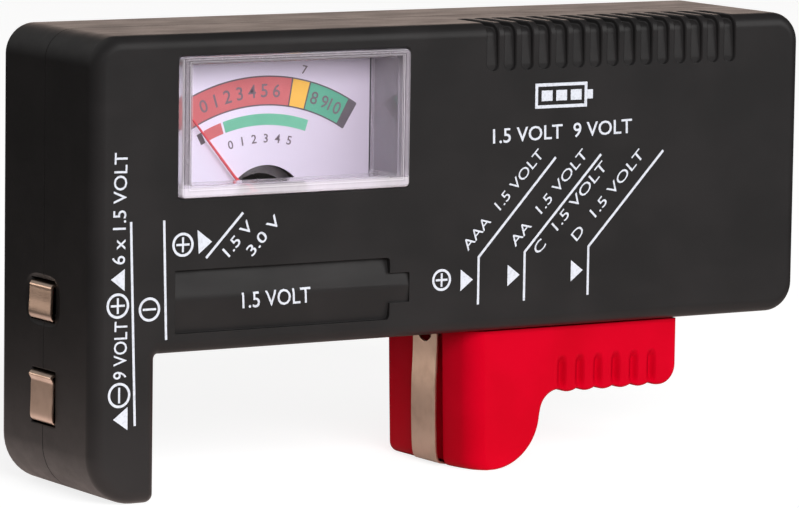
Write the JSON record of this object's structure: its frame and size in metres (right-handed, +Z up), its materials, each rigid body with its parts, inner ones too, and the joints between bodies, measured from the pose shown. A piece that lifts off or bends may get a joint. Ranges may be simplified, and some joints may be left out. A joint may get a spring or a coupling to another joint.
{
  "type": "battery tester",
  "caption": "Hand-held analogue battery tester: flat case with a leg, meter window, sliding thumb contact and sprung end contacts.",
  "frame": {"origin": "bottom centre of the whole object's bounding box, on the plane that the leg and the slider stand on", "axes": "+X to the right seen from the front, +Y from the meter face towards the back, +Z up from the feet to the grip edge"},
  "size_m": [0.1098, 0.0262, 0.06],
  "materials": {
    "case_black": "satin moulded",
    "slider_red": "satin moulded",
    "clear_cover": "clear polished",
    "dial_card": "printed",
    "meter_plastic": "moulded",
    "needle_red": "painted",
    "nickel": "nickel-plated strip",
    "steel": "zinc-plated",
    "brass": "plain",
    "copper": "enamelled winding",
    "magnet": "ground",
    "resistor_body": "lacquered",
    "wire_red": "insulation",
    "wire_black": "insulation"
  },
  "bodies": {
    "case": {"front_shell": "case_black", "rear_shell": "case_black", "case_screw_1": "steel", "case_screw_2": "steel", "case_screw_3": "steel", "case_screw_4": "steel", "meter_cover": "clear_cover", "dial_plate": "dial_card", "meter_base": "meter_plastic", "hairspring_front": "brass", "hairspring_rear": "brass", "core_magnet": "magnet", "return_ring": "steel", "front_bridge": "brass", "jewel_screw_front": "brass", "jewel_screw_rear": "brass", "meter_terminal_negative": "brass", "meter_terminal_positive": "brass", "contact_rail": "brass", "resistor_9v": "resistor_body", "resistor_cell": "resistor_body", "wire_9v_positive": "wire_red", "wire_9v_negative": "wire_black", "wire_cell": "wire_black", "wire_rail": "wire_red", "wire_meter_positive": "wire_red"},
    "thumb_slider": {"slider": "slider_red", "slider_contact": "nickel"},
    "movement": {"needle": "needle_red", "moving_coil": "copper", "pivot_staff_front": "steel", "pivot_staff_rear": "steel"},
    "positive_leaf": {"contact_9v_positive": "nickel"},
    "negative_leaf": {"contact_9v_negative": "nickel"},
    "cell_leaf": {"cell_contact": "nickel"}
  },
  "joints": [
    {"name": "slider_travel", "type": "slide", "parent": "case", "child": "thumb_slider", "axis": [1, 0, 0], "range_m": [-0.0445, 0.0163]},
    {"name": "needle_swing", "type": "hinge", "parent": "case", "child": "movement", "pos_m": [-0.02475, -0.0053, 0.0357], "axis": [0, 1, 0], "range_deg": [0, 87], "stiffness_Nm_per_rad": 0.000004, "deforming": ["hairspring_front", "hairspring_rear"]},
    {"name": "positive_leaf_press", "type": "slide", "parent": "case", "child": "positive_leaf", "axis": [1, 0, 0], "range_m": [0, 0.0008], "stiffness_N_per_m": 12},
    {"name": "negative_leaf_press", "type": "slide", "parent": "case", "child": "negative_leaf", "axis": [1, 0, 0], "range_m": [0, 0.00045], "stiffness_N_per_m": 12},
    {"name": "cell_leaf_press", "type": "slide", "parent": "case", "child": "cell_leaf", "axis": [-1, 0, 0], "range_m": [0, 0.0006], "stiffness_N_per_m": 12}
  ]
}
